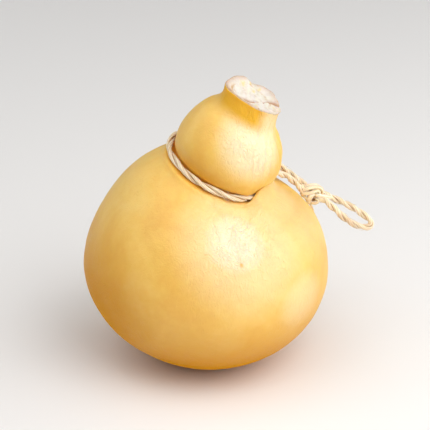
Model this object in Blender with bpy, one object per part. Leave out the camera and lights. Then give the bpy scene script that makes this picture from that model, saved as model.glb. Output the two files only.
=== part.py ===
"""Caciocavallo: a gourd-shaped cheese of stretched curd, with the raffia cord that it was hung by.

The cheese is one solid. Its round body stands on a small flat spot, and above a crease sits a smaller
head that leans over to +X and ends in a short stump with a torn, hollowed top. The cord lies round the
crease as a loose collar. Its two leads run back to a knot on the shoulder, and beyond the knot stand
a loop and a short tail of one ply.

Metres, +Z up. The origin is in the middle of the base.
"""

import math

import bpy
import bmesh
from mathutils import Vector

# ---------------------------------------------------------------- driving dimensions of the cheese

# Body: an ellipsoid below its widest level, and above it one that bends over towards the crease.
BODY_RADIUS = 0.0750
WIDEST_HEIGHT = 0.0610
BODY_DEPTH = 0.0628
FOOT_SHIFT = 0.0032
BEND_POWER = 3.6

# Crease between body and head: its middle and lean, and the shoulder's edge just below it.
CREASE_MIDDLE = Vector((0.0088, -0.0020, 0.1267))
CREASE_LEAN_RIGHT = math.radians(25.0)
LEAN_FRONT = math.radians(6.0)
SHOULDER_EDGE_RADIUS = 0.0360
SHOULDER_EDGE_DROP = 0.0055
SHOULDER_LEAN_RIGHT = math.radians(21.0)

# The head's weight opens the crease on the left and pinches it shut on the right, over the cord.
# (open radius, open height, pinched radius, pinched height) of the groove, from the crease's middle.
GROOVE = (
    (0.0345, -0.0049, 0.0344, 0.0043),
    (0.0326, -0.0042, 0.0329, 0.0049),
    (0.0312, -0.0038, 0.0320, 0.0024),
    (0.0303, -0.0037, 0.0320, -0.0002),
    (0.0294, -0.0036, 0.0311, -0.0026),
    (0.0284, -0.0036, 0.0288, -0.0037),
    (0.0262, -0.0028, 0.0263, -0.0030),
    (0.0252, -0.0006, 0.0251, -0.0006),
    (0.0257, 0.0016, 0.0257, 0.0018),
    (0.0271, 0.0028, 0.0272, 0.0030),
)
# Degrees round from +X where the pinch begins, is full, is full to, and ends.
PINCH = (-62.0, -34.0, -18.0, 10.0)
PINCH_LIFT = 0.0053
PINCH_SPREAD = 0.38

# Head: its widest level over the crease, and its half heights below and above that level.
HEAD_RADIUS = 0.0330
HEAD_WIDEST_RISE = 0.0120
HEAD_DEPTH = 0.0190
HEAD_FIRST_DROP = 0.0090
HEAD_RISE = 0.0350
HEAD_END_RADIUS = 0.0245

# Above the widest level the head's middle line stands up again, while its rings lean further.
HEAD_TOP_LEAN_RIGHT = math.radians(18.0)
STUMP_FACE_LEAN_RIGHT = math.radians(31.0)

# (radius, height over the widest level, share of the torn outline) of the stump's side and rim.
STUMP_SIDE = (
    (0.0226, 0.0252, 0.00),
    (0.0208, 0.0274, 0.10),
    (0.0195, 0.0300, 0.25),
    (0.0188, 0.0328, 0.45),
    (0.0185, 0.0355, 0.65),
    (0.0186, 0.0378, 0.85),
    (0.0189, 0.0397, 1.00),
    (0.0189, 0.0411, 1.00),
    (0.0180, 0.0420, 1.00),
)
# (degrees round from +X, share of the radius, lift) of the torn rim.
TORN_RIM = (
    (0, 1.00, -0.0001),
    (30, 1.03, 0.0002),
    (48, 1.09, 0.0005),
    (64, 1.03, -0.0001),
    (80, 0.92, -0.0008),
    (97, 0.91, -0.0015),
    (110, 0.99, 0.0003),
    (130, 0.97, 0.0004),
    (154, 0.95, -0.0006),
    (178, 1.00, -0.0011),
    (200, 1.02, -0.0004),
    (225, 0.88, 0.0003),
    (255, 0.80, 0.0007),
    (285, 0.78, 0.0004),
    (312, 0.86, 0.0007),
    (335, 0.96, 0.0001),
)
# (share of the rim's radius, depth under the rim) of the hollow in the stump's top.
STUMP_HOLLOW = (
    (0.88, 0.0003),
    (0.76, 0.0016),
    (0.61, 0.0030),
    (0.43, 0.0037),
    (0.23, 0.0038),
)
HOLLOW_SHIFT_FRONT = 0.0022

# Hand-made unevenness: the body is a little oval and three-sided, and dented low on its left.
OVAL_SWELL = 0.0004
THREE_SIDED_SWELL = 0.0003
DENT_DIRECTION = Vector((-0.72, -0.58, -0.38)).normalized()
DENT_DEPTH = 0.0008
DENT_SPREAD = 0.30

SEGMENTS = 64
BODY_LOWER_RINGS = 13
BODY_UPPER_RINGS = 15
HEAD_LOWER_RINGS = 6
HEAD_UPPER_RINGS = 10
LEAN_STEPS = 12

# ---------------------------------------------------------------- driving dimensions of the cord

CORD_RADIUS = 0.0023
TAIL_RADIUS = 0.0010
CORD_POINT_SPACING = 0.0096
LOOP_POINT_SPACING = 0.0055
TAIL_POINT_SPACING = 0.0045
CORD_ROUNDNESS = 2

# From the knot up the back lead, round behind the head, across the front and back to the knot.
COLLAR_ROUTE = (
    (0.0619, 0.0392, 0.0961),
    (0.0580, 0.0380, 0.1000),
    (0.0530, 0.0364, 0.1047),
    (0.0475, 0.0346, 0.1101),
    (0.0400, 0.0334, 0.1155),
    (0.0310, 0.0328, 0.1206),
    (0.0200, 0.0326, 0.1258),
    (0.0100, 0.0320, 0.1300),
    (0.0010, 0.0300, 0.1335),
    (-0.0070, 0.0260, 0.1370),
    (-0.0135, 0.0205, 0.1400),
    (-0.0185, 0.0130, 0.1415),
    (-0.0210, 0.0045, 0.1410),
    (-0.0215, -0.0040, 0.1400),
    (-0.0195, -0.0125, 0.1385),
    (-0.0155, -0.0200, 0.1360),
    (-0.0100, -0.0265, 0.1330),
    (-0.0020, -0.0315, 0.1290),
    (0.0060, -0.0333, 0.1254),
    (0.0130, -0.0324, 0.1218),
    (0.0185, -0.0298, 0.1192),
    (0.0227, -0.0265, 0.1174),
    (0.0256, -0.0229, 0.1163),
    (0.0286, -0.0192, 0.1152),
    (0.0310, -0.0149, 0.1145),
    (0.0328, -0.0102, 0.1141),
    (0.0338, -0.0054, 0.1141),
    (0.0348, -0.0006, 0.1144),
    (0.0366, 0.0045, 0.1151),
    (0.0394, 0.0097, 0.1156),
    (0.0428, 0.0155, 0.1145),
    (0.0465, 0.0215, 0.1115),
    (0.0505, 0.0268, 0.1075),
    (0.0545, 0.0308, 0.1025),
    (0.0583, 0.0330, 0.0975),
    (0.0610, 0.0343, 0.0943),
)
# Out of the knot along the upper leg, round the bight and back along the lower leg.
LOOP_ROUTE = (
    (0.0738, 0.0402, 0.0894),
    (0.0790, 0.0400, 0.0870),
    (0.0843, 0.0395, 0.0847),
    (0.0894, 0.0390, 0.0821),
    (0.0945, 0.0388, 0.0790),
    (0.0993, 0.0390, 0.0754),
    (0.1030, 0.0392, 0.0720),
    (0.1043, 0.0389, 0.0692),
    (0.1024, 0.0380, 0.0674),
    (0.0978, 0.0370, 0.0682),
    (0.0923, 0.0360, 0.0708),
    (0.0872, 0.0353, 0.0749),
    (0.0827, 0.0348, 0.0796),
    (0.0782, 0.0345, 0.0842),
    (0.0742, 0.0344, 0.0878),
)
# One loose ply, from under the knot down along the body.
TAIL_ROUTE = (
    (0.0657, 0.0361, 0.0832),
    (0.0674, 0.0345, 0.0807),
    (0.0687, 0.0330, 0.0784),
    (0.0700, 0.0315, 0.0753),
)

# Knot: a core that the cords run into, two turns across it, a curl on top and a lobe below.
KNOT_MIDDLE = Vector((0.0668, 0.0365, 0.0903))
KNOT_ALONG = Vector((0.84, 0.06, -0.54)).normalized()
KNOT_ACROSS = Vector((0.0, 0.9026, -0.4305))
KNOT_CORE_HALF_LENGTH = 0.0070
KNOT_CORE_RADIUS = 0.0044
# (offset along, offset across, offset up, tilt across in degrees, ring radius, tube radius)
KNOT_TURNS = (
    (-0.0017, 0.0000, 0.0000, 24.0, 0.0039, 0.0021),
    (0.0021, 0.0000, -0.0004, 8.0, 0.0038, 0.0021),
)
KNOT_CURL = (0.0030, -0.0024, 0.0037, 62.0, 0.0026, 0.0019)
KNOT_LOBE = (0.0010, -0.0008, -0.0038, 40.0, 0.0022, 0.0020)


# ---------------------------------------------------------------- helpers

def clear_scene():
    """Remove every object, and the meshes and curves that only they used."""
    for obj in list(bpy.data.objects):
        bpy.data.objects.remove(obj, do_unlink=True)
    for mesh in list(bpy.data.meshes):
        if mesh.users == 0:
            bpy.data.meshes.remove(mesh)
    for curve in list(bpy.data.curves):
        if curve.users == 0:
            bpy.data.curves.remove(curve)


def make_material(name, colour, roughness):
    """A plain Principled material."""
    material = bpy.data.materials.new(name)
    material.use_nodes = True
    shader = material.node_tree.nodes["Principled BSDF"]
    shader.inputs["Base Color"].default_value = (*colour, 1.0)
    shader.inputs["Roughness"].default_value = roughness
    shader.inputs["Metallic"].default_value = 0.0
    material.diffuse_color = (*colour, 1.0)
    return material


def link_mesh(name, bm, material):
    """Turn a bmesh into a smooth-shaded object in the scene."""
    mesh = bpy.data.meshes.new(name)
    bm.to_mesh(mesh)
    bm.free()
    mesh.shade_smooth()
    mesh.materials.append(material)
    obj = bpy.data.objects.new(name, mesh)
    bpy.context.scene.collection.objects.link(obj)
    return obj


def smoothstep(x):
    """Ease from 0 at x <= 0 to 1 at x >= 1."""
    x = min(1.0, max(0.0, x))
    return x * x * (3.0 - 2.0 * x)


def around(table, degrees):
    """Ease between the rows of a table whose first column is an angle round a full turn."""
    degrees = degrees % 360.0
    for row, after in zip(table, table[1:] + ((360.0, *table[0][1:]),)):
        if row[0] <= degrees <= after[0]:
            part = smoothstep((degrees - row[0]) / (after[0] - row[0]))
            return [a + (b - a) * part for a, b in zip(row[1:], after[1:])]
    return list(table[0][1:])


def ring_axes(lean_right, lean_front):
    """The axes of a ring's plane: u to the right in it, v to the back in it, and n along the cheese."""
    n = Vector((math.sin(lean_right), -math.sin(lean_front), math.cos(lean_right))).normalized()
    u = (Vector((1.0, 0.0, 0.0)) - n * n.x).normalized()
    return u, n.cross(u), n


# ---------------------------------------------------------------- cheese

def uneven(point):
    """Push a point of the body out or in by what the hands that shaped it left."""
    middle = Vector((0.0, 0.0, WIDEST_HEIGHT))
    outward = (point - middle).normalized()
    level = math.hypot(outward.x, outward.y)
    turn = math.atan2(outward.y, outward.x)
    swell = OVAL_SWELL * math.cos(2.0 * turn) + THREE_SIDED_SWELL * math.cos(3.0 * turn + 1.0)
    away = 1.0 - outward.dot(DENT_DIRECTION)
    dent = DENT_DEPTH * math.exp(-away / (DENT_SPREAD * DENT_SPREAD))
    return point + outward * (swell * level ** 4 - dent)


def ring(middle, axes, shape):
    """One closed ring of points; shape gives the radius and height at an angle in degrees."""
    u, v, n = axes
    points = []
    for i in range(SEGMENTS):
        angle = 2.0 * math.pi * i / SEGMENTS
        radius, height = shape(math.degrees(angle))
        points.append(middle + radius * (math.cos(angle) * u + math.sin(angle) * v) + height * n)
    return points


def round_ring(middle, axes, radius):
    """A ring that is a flat circle."""
    return ring(middle, axes, lambda degrees: (radius, 0.0))


def torn_ring(height, radius, share, inward=1.0, depth=0.0):
    """A ring of the stump, moved towards the torn outline by a share of it."""
    def shape(degrees):
        stretch, lift = around(TORN_RIM, degrees)
        reach = radius * inward * (1.0 + (stretch - 1.0) * share)
        return reach, lift * share * inward - depth

    middle, axes = head_place(height)
    return ring(middle - HOLLOW_SHIFT_FRONT * (1.0 - inward) * axes[1], axes, shape)


def pinch(degrees):
    """How far the crease is pinched shut, from 0 to 1, at an angle round it."""
    begins, full, full_to, ends = PINCH
    degrees = (degrees + 180.0) % 360.0 - 180.0
    rise = smoothstep((degrees - begins) / (full - begins))
    return rise * (1.0 - smoothstep((degrees - full_to) / (ends - full_to)))


def body_lower_rings():
    """From the flat spot up to just below the widest level."""
    flat = ring_axes(0.0, 0.0)
    start = math.acos(WIDEST_HEIGHT / BODY_DEPTH)
    rings = []
    for i in range(BODY_LOWER_RINGS):
        angle = start + (0.5 * math.pi - start) * i / BODY_LOWER_RINGS
        below = BODY_DEPTH * math.cos(angle)
        middle = Vector((FOOT_SHIFT * below / WIDEST_HEIGHT, 0.0, WIDEST_HEIGHT - below))
        points = round_ring(middle, flat, BODY_RADIUS * math.sin(angle))
        rings.append([uneven(point) for point in points] if i > 0 else points)
    return rings


def body_upper_rings():
    """From the widest level to the shoulder's edge, leaning further the nearer the crease is."""
    n = ring_axes(CREASE_LEAN_RIGHT, LEAN_FRONT)[2]
    edge = CREASE_MIDDLE - SHOULDER_EDGE_DROP * n
    end = math.acos(SHOULDER_EDGE_RADIUS / BODY_RADIUS)
    rings = []
    for i in range(BODY_UPPER_RINGS + 1):
        angle = end * i / BODY_UPPER_RINGS
        rise = math.sin(angle) / math.sin(end)
        bend = rise ** BEND_POWER
        level = WIDEST_HEIGHT + (edge.z - WIDEST_HEIGHT) * rise
        middle = Vector((edge.x * bend, edge.y * bend, level))
        axes = ring_axes(SHOULDER_LEAN_RIGHT * bend, LEAN_FRONT * bend)
        radius = BODY_RADIUS * math.cos(angle)
        lift = PINCH_LIFT * smoothstep(1.0 - (1.0 - rise) / PINCH_SPREAD)
        points = ring(middle, axes, lambda degrees: (radius, lift * pinch(degrees)))
        rings.append([uneven(point) for point in points])
    return rings


def groove_rings():
    """The crease under the head, open on the left and pinched over the cord on the right."""
    def blend(row, degrees):
        closed = pinch(degrees)
        return row[0] + (row[2] - row[0]) * closed, row[1] + (row[3] - row[1]) * closed

    axes = ring_axes(CREASE_LEAN_RIGHT, LEAN_FRONT)
    return [ring(CREASE_MIDDLE, axes, lambda degrees: blend(row, degrees)) for row in GROOVE]


def head_place(height):
    """Middle and axes of the head's ring at a height over its widest level."""
    axes = ring_axes(CREASE_LEAN_RIGHT, LEAN_FRONT)
    middle = CREASE_MIDDLE + HEAD_WIDEST_RISE * axes[2]
    if height <= 0.0:
        return middle + height * axes[2], axes
    for i in range(LEAN_STEPS):
        part = smoothstep((i + 0.5) / LEAN_STEPS * height / HEAD_RISE)
        lean = CREASE_LEAN_RIGHT + (HEAD_TOP_LEAN_RIGHT - CREASE_LEAN_RIGHT) * part
        middle = middle + height / LEAN_STEPS * ring_axes(lean, LEAN_FRONT)[2]
    turn = (STUMP_FACE_LEAN_RIGHT - CREASE_LEAN_RIGHT) * smoothstep(height / HEAD_RISE)
    return middle, ring_axes(CREASE_LEAN_RIGHT + turn, LEAN_FRONT)


def head_rings():
    """The round head, from its underside to where the stump begins."""
    rings = []
    start = math.asin(HEAD_FIRST_DROP / HEAD_DEPTH)
    for i in range(HEAD_LOWER_RINGS):
        angle = start * (1.0 - i / HEAD_LOWER_RINGS)
        middle, axes = head_place(-HEAD_DEPTH * math.sin(angle))
        rings.append(round_ring(middle, axes, HEAD_RADIUS * math.cos(angle)))
    end = math.acos(HEAD_END_RADIUS / HEAD_RADIUS)
    for i in range(HEAD_UPPER_RINGS + 1):
        angle = end * i / HEAD_UPPER_RINGS
        middle, axes = head_place(HEAD_RISE * math.sin(angle))
        rings.append(round_ring(middle, axes, HEAD_RADIUS * math.cos(angle)))
    return rings


def stump_rings():
    """The stump's side, its rolled rim and the hollow in its torn top."""
    rings = [torn_ring(height, radius, share) for radius, height, share in STUMP_SIDE]
    rim_radius, rim_height, _ = STUMP_SIDE[-1]
    for inward, depth in STUMP_HOLLOW:
        rings.append(torn_ring(rim_height, rim_radius, 1.0, inward, depth))
    return rings


def make_cheese(material):
    """One closed solid through all the rings, with a fan of faces over each end."""
    rings = body_lower_rings() + body_upper_rings() + groove_rings() + head_rings() + stump_rings()
    bm = bmesh.new()
    loops = [[bm.verts.new(point) for point in points] for points in rings]
    for lower, upper in zip(loops, loops[1:]):
        for i in range(SEGMENTS):
            j = (i + 1) % SEGMENTS
            bm.faces.new((lower[i], lower[j], upper[j], upper[i]))
    foot = bm.verts.new(sum(rings[0], Vector()) / SEGMENTS)
    top = bm.verts.new(sum(rings[-1], Vector()) / SEGMENTS)
    for i in range(SEGMENTS):
        j = (i + 1) % SEGMENTS
        bm.faces.new((loops[0][j], loops[0][i], foot))
        bm.faces.new((loops[-1][i], loops[-1][j], top))
    return link_mesh("cheese", bm, material)


# ---------------------------------------------------------------- cord

def smooth_points(route, spacing):
    """Points about a spacing apart on a smooth curve through a route's own points."""
    route = [Vector(point) for point in route]
    ends = [2.0 * route[0] - route[1]] + route + [2.0 * route[-1] - route[-2]]
    fine = []
    steps = 16
    for a, b, c, d in zip(ends, ends[1:], ends[2:], ends[3:]):
        for i in range(steps):
            t = i / steps
            fine.append(0.5 * (
                2.0 * b
                + (c - a) * t
                + (2.0 * a - 5.0 * b + 4.0 * c - d) * t * t
                + (3.0 * b - a - 3.0 * c + d) * t * t * t
            ))
    fine.append(route[-1])
    lengths = [0.0]
    for a, b in zip(fine, fine[1:]):
        lengths.append(lengths[-1] + (b - a).length)
    count = max(2, round(lengths[-1] / spacing))
    points = []
    j = 0
    for i in range(count + 1):
        at = lengths[-1] * i / count
        while j < len(fine) - 2 and lengths[j + 1] < at:
            j += 1
        part = (at - lengths[j]) / (lengths[j + 1] - lengths[j])
        points.append(fine[j].lerp(fine[j + 1], part))
    return points


def make_cord(name, route, radius, spacing, material):
    """A tube along a route: a curve with a round bevel and filled ends."""
    points = smooth_points(route, spacing)
    curve = bpy.data.curves.new(name, "CURVE")
    curve.dimensions = "3D"
    curve.bevel_depth = radius
    curve.bevel_resolution = CORD_ROUNDNESS
    curve.use_fill_caps = True
    spline = curve.splines.new("POLY")
    spline.points.add(len(points) - 1)
    for spline_point, point in zip(spline.points, points):
        spline_point.co = (*point, 1.0)
    curve.materials.append(material)
    obj = bpy.data.objects.new(name, curve)
    bpy.context.scene.collection.objects.link(obj)
    return obj


def knot_place(along, across, up):
    """A point of the knot, from its middle."""
    upward = KNOT_ACROSS.cross(KNOT_ALONG).normalized()
    return KNOT_MIDDLE + along * KNOT_ALONG + across * KNOT_ACROSS + up * upward


def make_turn(turn, material):
    """One turn of cord across the knot, as a closed ring of tube."""
    along, across, up, tilt, ring_radius, tube_radius = turn
    upward = KNOT_ACROSS.cross(KNOT_ALONG).normalized()
    lean = math.radians(tilt)
    axis = math.cos(lean) * KNOT_ALONG + math.sin(lean) * KNOT_ACROSS
    bpy.ops.mesh.primitive_torus_add(
        major_segments=18,
        minor_segments=8,
        major_radius=ring_radius,
        minor_radius=tube_radius,
        location=knot_place(along, across, up),
        rotation=axis.to_track_quat("Z", "Y").to_euler(),
    )
    obj = bpy.context.object
    obj.data.materials.append(material)
    return obj


def make_knot(material):
    """The core, turns, curl and lobe fused into one solid."""
    bpy.ops.mesh.primitive_uv_sphere_add(segments=20, ring_count=12, radius=1.0)
    knot = bpy.context.object
    knot.name = "cord_knot"
    knot.data.name = "cord_knot"
    turn = KNOT_ALONG.to_track_quat("Z", "Y").to_matrix()
    for vertex in knot.data.vertices:
        x, y, z = vertex.co
        core = Vector((x * KNOT_CORE_RADIUS, y * KNOT_CORE_RADIUS, z * KNOT_CORE_HALF_LENGTH))
        vertex.co = KNOT_MIDDLE + turn @ core
    knot.data.materials.append(material)
    group = bpy.data.collections.new("knot_turns")
    for turn in (*KNOT_TURNS, KNOT_CURL, KNOT_LOBE):
        piece = make_turn(turn, material)
        group.objects.link(piece)
    union = knot.modifiers.new("union", "BOOLEAN")
    union.operation = "UNION"
    union.operand_type = "COLLECTION"
    union.collection = group
    bpy.context.view_layer.objects.active = knot
    bpy.ops.object.modifier_apply(modifier="union")
    for piece in list(group.objects):
        bpy.data.objects.remove(piece, do_unlink=True)
    bpy.data.collections.remove(group)
    knot.data.shade_smooth()
    return knot


# ---------------------------------------------------------------- the whole part

clear_scene()
rind = make_material("thin_waxy_rind", (0.86, 0.62, 0.22), 0.38)
raffia = make_material("twisted_raffia", (0.86, 0.72, 0.47), 0.60)
make_cheese(rind)
make_cord("neck_cord", COLLAR_ROUTE, CORD_RADIUS, CORD_POINT_SPACING, raffia)
make_knot(raffia)
make_cord("hanging_loop", LOOP_ROUTE, CORD_RADIUS, LOOP_POINT_SPACING, raffia)
make_cord("cord_tail", TAIL_ROUTE, TAIL_RADIUS, TAIL_POINT_SPACING, raffia)
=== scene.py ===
"""The looks of a caciocavallo: its raffia cord, the knot, and the waxy cheese with its torn stump.

Lengths are in metres, or in millimetres where a comment says so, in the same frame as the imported
model, with +Z up.
"""

import math
import random

import bmesh
import bpy
import numpy as np
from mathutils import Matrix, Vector, kdtree, noise


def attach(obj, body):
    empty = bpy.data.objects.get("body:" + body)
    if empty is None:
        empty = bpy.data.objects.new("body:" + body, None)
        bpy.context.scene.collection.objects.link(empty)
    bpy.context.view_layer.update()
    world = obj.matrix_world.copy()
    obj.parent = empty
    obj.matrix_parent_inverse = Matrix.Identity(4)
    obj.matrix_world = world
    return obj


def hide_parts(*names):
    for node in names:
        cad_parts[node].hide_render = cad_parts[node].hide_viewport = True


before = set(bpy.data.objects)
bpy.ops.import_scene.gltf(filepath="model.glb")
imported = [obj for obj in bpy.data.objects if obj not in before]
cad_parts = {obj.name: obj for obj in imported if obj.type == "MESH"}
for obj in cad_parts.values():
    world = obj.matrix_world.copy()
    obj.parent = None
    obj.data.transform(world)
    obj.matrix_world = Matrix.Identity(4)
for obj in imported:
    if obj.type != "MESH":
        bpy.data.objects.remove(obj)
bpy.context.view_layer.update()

# ---------------------------------------------------------------- camera
# A long lens on a stand in front of the cheese looks down on it. The body's middle lies a little
# left of the frame's middle and below it, so that the stump and the hanging loop have room.

MM = 0.001
CM = 0.01
PIXEL = 0.617 * MM
FRAME_PIXELS = 430
BODY_IN_FRAME = (205.5, 263.0)
BODY_MIDDLE = Vector((0.0, 0.0, 0.061))
LENS_MM = 200.0
SENSOR_MM = 36.0
LOOK_DOWN = math.radians(25.5)

view_right = Vector((1.0, 0.0, 0.0))
view_up = Vector((0.0, math.sin(LOOK_DOWN), math.cos(LOOK_DOWN)))
view_out = Vector((0.0, -math.cos(LOOK_DOWN), math.sin(LOOK_DOWN)))
aim = BODY_MIDDLE
aim = aim + (FRAME_PIXELS / 2 - BODY_IN_FRAME[0]) * PIXEL * view_right
aim = aim + (BODY_IN_FRAME[1] - FRAME_PIXELS / 2) * PIXEL * view_up
camera_distance = LENS_MM / SENSOR_MM * FRAME_PIXELS * PIXEL

bpy.ops.object.select_all(action="DESELECT")
bpy.ops.object.camera_add(
    location=aim + camera_distance * view_out,
    rotation=(math.pi / 2 - LOOK_DOWN, 0.0, 0.0),
)
camera = bpy.context.object
camera.data.lens = LENS_MM
camera.data.sensor_width = SENSOR_MM
bpy.context.scene.camera = camera
bpy.context.scene.view_settings.view_transform = "Standard"

# ---------------------------------------------------------------- neck cord
# The cord that the cheese was tied and hung by. It is raffia: strips of dried palm leaf, rolled by
# hand into two plies that are twisted round each other. It lies loosely in the crease under the
# head, and both of its ends run back over the shoulder into the knot.

CORD_DIAMETER = 4.6 * MM
COLLAR_LAYS = (                   # (share of the length, length in which a ply goes once round)
    (0.00, 20.0 * MM),
    (0.15, 20.0 * MM),
    (0.30, 34.0 * MM),
    (0.80, 34.0 * MM),
    (0.90, 22.0 * MM),
    (1.00, 20.0 * MM),
)
PLY_HALF_WIDTH = 1.42 * MM
PLY_HALF_DEPTH = 1.16 * MM
PLY_OFFSET = 1.06 * MM
PLY_STRIPS = 5                    # strips of leaf that show round a ply
STRIP_DRIFT = 0.35                # strips by which they turn round a ply in a centimetre
LEAF_CREASE_DEPTH = 0.18          # between two strips, as a share of the ply's half width
LEAF_CREASE_SPREAD = 0.15         # as a share of a strip's width
# Hand-rolled plies are uneven: by how much, and over what length along the cord
LAY_UNEVEN = (0.25, 24.0 * MM)
PLY_WOBBLE = (0.22 * MM, 9.0 * MM)
PLY_SWELL = (0.25, 13.0 * MM)
PLY_FLATTENING = 0.18             # how far a ply thins where it swells in width
# Loose fibres: their lay, their length in rings, the rings kept clear at the cord's two ends, how far
# they rise off the cord, and their own half sizes
WISP_LAY = 22.0 * MM
WISP_RINGS = (12, 28)
WISP_CLEAR = (4, 34)
WISP_RISE = (0.25 * MM, 0.75 * MM)
WISP_HALF_WIDTH = (0.10 * MM, 0.20 * MM)
WISP_HALF_DEPTH = 0.06 * MM
STRAND_SIDES = 30
RING_SPACING = 0.6 * MM
KNOT_MIDDLE = Vector((0.0668, 0.0365, 0.0903))

# From the knot up over the shoulder, round behind the head, down across the front and back again
COLLAR_ROUTE = (
    (0.0619, 0.0392, 0.0961),
    (0.0580, 0.0380, 0.1000),
    (0.0530, 0.0364, 0.1047),
    (0.0475, 0.0346, 0.1101),
    (0.0400, 0.0334, 0.1155),
    (0.0310, 0.0328, 0.1206),
    (0.0200, 0.0326, 0.1258),
    (0.0100, 0.0320, 0.1300),
    (0.0010, 0.0300, 0.1335),
    (-0.0070, 0.0260, 0.1370),
    (-0.0135, 0.0205, 0.1400),
    (-0.0185, 0.0130, 0.1415),
    (-0.0210, 0.0045, 0.1410),
    (-0.0215, -0.0040, 0.1400),
    (-0.0195, -0.0125, 0.1385),
    (-0.0155, -0.0200, 0.1360),
    (-0.0100, -0.0265, 0.1330),
    (-0.0020, -0.0315, 0.1290),
    (0.0060, -0.0333, 0.1254),
    (0.0130, -0.0324, 0.1218),
    (0.0185, -0.0298, 0.1192),
    (0.0227, -0.0265, 0.1174),
    (0.0256, -0.0229, 0.1163),
    (0.0286, -0.0192, 0.1152),
    (0.0310, -0.0149, 0.1145),
    (0.0328, -0.0102, 0.1141),
    (0.0338, -0.0054, 0.1141),
    (0.0348, -0.0006, 0.1144),
    (0.0366, 0.0045, 0.1151),
    (0.0394, 0.0097, 0.1156),
    (0.0428, 0.0155, 0.1145),
    (0.0465, 0.0215, 0.1115),
    (0.0505, 0.0268, 0.1075),
    (0.0545, 0.0308, 0.1025),
    (0.0583, 0.0330, 0.0975),
    (0.0610, 0.0343, 0.0943),
)


def linear(hex_colour):
    """An sRGB hex colour as the linear RGBA that a socket takes."""
    channels = [int(hex_colour[i:i + 2], 16) / 255.0 for i in (1, 3, 5)]
    return (*[c / 12.92 if c <= 0.04045 else ((c + 0.055) / 1.055) ** 2.4 for c in channels], 1.0)


def new_material(name):
    """A node material, and its Principled shader."""
    material = bpy.data.materials.new(name)
    material.use_nodes = True
    return material, material.node_tree.nodes["Principled BSDF"]


def add_node(material, kind, inputs, stops=(), **settings):
    """Add a node. An input is given as a value, or as another node's output that it is linked to."""
    tree = material.node_tree
    node = tree.nodes.new("ShaderNode" + kind)
    for name, value in settings.items():
        setattr(node, name, value)
    for name, value in inputs.items():
        if isinstance(value, bpy.types.NodeSocket):
            tree.links.new(value, node.inputs[name])
        else:
            node.inputs[name].default_value = value
    for i, (position, colour) in enumerate(stops):
        stop = node.color_ramp.elements[i] if i < 2 else node.color_ramp.elements.new(position)
        stop.position = position
        stop.color = colour
    return node


def make_raffia():
    """Raffia: dried palm leaf, straw-coloured, matt, with fine long fibres and painted shade in its
    creases.

    The UV map counts strips of leaf across the ply and centimetres along it.
    """
    material, shader = new_material("dried_palm_raffia")
    uv = add_node(material, "UVMap", {}, uv_map="strips").outputs["UV"]
    parts = add_node(material, "SeparateXYZ", {"Vector": uv})
    # Long fibres: drawn 1/9 of a strip wide, which is coarser than the real ones, so that they show.
    stretch = add_node(material, "Mapping", {"Vector": uv, "Scale": (9.0, 0.9, 1.0)})
    fibres = add_node(
        material, "TexNoise",
        {"Vector": stretch.outputs["Vector"], "Scale": 1.0, "Detail": 3.0, "Roughness": 0.6},
    )
    # Each strip has its own shade, and fades and stains over some 10 mm of its length.
    strip = add_node(material, "Math", {0: parts.outputs["X"]}, operation="FLOOR")
    patch = add_node(
        material, "CombineXYZ", {"X": strip.outputs[0], "Y": parts.outputs["Y"], "Z": 3.0},
    )
    stains = add_node(
        material, "TexNoise",
        {"Vector": patch.outputs["Vector"], "Scale": 0.73, "Detail": 2.0, "Roughness": 0.5},
    )
    crease = add_node(material, "Math", {0: parts.outputs["X"], 1: 0.5}, operation="PINGPONG")
    valley = add_node(
        material, "MapRange",
        {"Value": crease.outputs[0], "From Min": 0.0, "From Max": 0.13, "To Min": 0.7, "To Max": 0.0},
        interpolation_type="SMOOTHSTEP",
    )
    straw = add_node(
        material, "ValToRGB", {"Fac": fibres.outputs["Fac"]},
        stops=((0.30, linear("#D6AE72")), (0.64, linear("#F9F0DF")), (0.46, linear("#EEDCB9"))),
    )
    stain_share = add_node(
        material, "MapRange",
        {"Value": stains.outputs["Fac"], "From Min": 0.52, "From Max": 0.78, "To Max": 0.5},
    )
    stained = add_node(
        material, "Mix",
        {0: stain_share.outputs["Result"], 6: straw.outputs["Color"], 7: linear("#C08F4C")},
        data_type="RGBA",
    )
    # Painted shade: darker between strips, and where a ply turns in towards the other one.
    inner_shade = add_node(material, "Attribute", {}, attribute_name="inner_shade").outputs["Fac"]
    painted_strip_shade = add_node(material, "Math", {0: valley.outputs["Result"], 1: inner_shade}, operation="MAXIMUM")
    strip_shaded = add_node(
        material, "Mix",
        {0: painted_strip_shade.outputs[0], 6: stained.outputs[2], 7: linear("#B67F3A")}, data_type="RGBA",
    )
    relief = add_node(
        material, "Math", {0: fibres.outputs["Fac"], 1: valley.outputs["Result"]}, operation="SUBTRACT",
    )
    bump = add_node(
        material, "Bump", {"Height": relief.outputs[0], "Strength": 0.55, "Distance": 0.12 * MM},
    )
    rough = add_node(
        material, "MapRange", {"Value": fibres.outputs["Fac"], "To Min": 0.62, "To Max": 0.42},
    )
    links = material.node_tree.links
    links.new(strip_shaded.outputs[2], shader.inputs["Base Color"])
    links.new(bump.outputs["Normal"], shader.inputs["Normal"])
    links.new(rough.outputs["Result"], shader.inputs["Roughness"])
    shader.inputs["Subsurface Weight"].default_value = 0.35
    shader.inputs["Subsurface Radius"].default_value = (1.0, 0.7, 0.4)
    shader.inputs["Subsurface Scale"].default_value = 1.5 * MM
    shader.inputs["Specular IOR Level"].default_value = 0.45
    shader.inputs["Sheen Weight"].default_value = 0.15
    return material


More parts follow.
